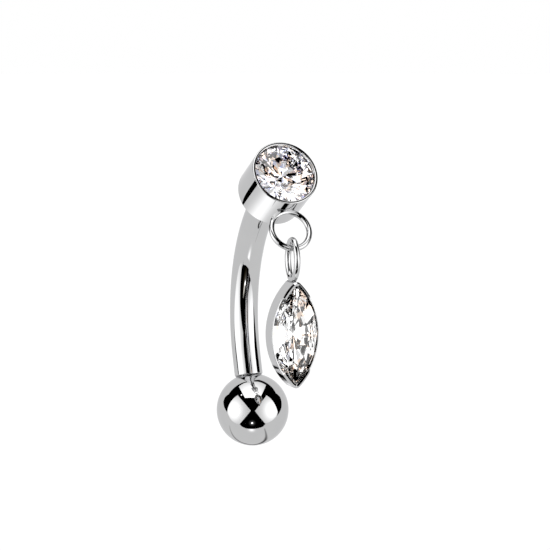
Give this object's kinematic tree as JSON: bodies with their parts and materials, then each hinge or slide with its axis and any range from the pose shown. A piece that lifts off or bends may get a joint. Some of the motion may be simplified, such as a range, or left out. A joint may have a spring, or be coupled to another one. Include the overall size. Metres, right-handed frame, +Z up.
{
  "type": "curved barbell",
  "caption": "Curved barbell for a navel piercing: a bent bar with a polished ball, a push-in bezel with a clear round stone, and a hanging drop with a clear marquise stone.",
  "frame": {"origin": "middle of the bar's visible length, on its centreline, where the piercing holds it", "axes": "+Z up as worn, with the round stone above and the ball below; -Y to the front, the side of the stones; every piece lies about X = 0 but the drop, which rests 0.11 mm to the left on its ring"},
  "size_m": [0.004, 0.009, 0.0176],
  "materials": {
    "bar_metal": "mirror polished steel",
    "ball_metal": "mirror polished steel",
    "bezel_metal": "mirror polished steel",
    "drop_metal": "polished steel",
    "clear_stone": "clear cut crystal"
  },
  "bodies": {
    "bar": {"curved_bar": "bar_metal", "ball": "ball_metal"},
    "top": {"bezel_top": "bezel_metal", "round_stone": "clear_stone"},
    "drop": {"drop_setting": "drop_metal", "marquise_stone": "clear_stone"}
  },
  "joints": [
    {"name": "top_draw", "type": "hinge", "parent": "bar", "child": "top", "pos_m": [0, -0.00796, -0.00234], "axis": [1, 0, 0], "range_deg": [0, 52]},
    {"name": "drop_swing", "type": "hinge", "parent": "top", "child": "drop", "pos_m": [0, -0.00707, 0.00214], "axis": [-1, 0, 0], "range_deg": [-45, 90]}
  ]
}
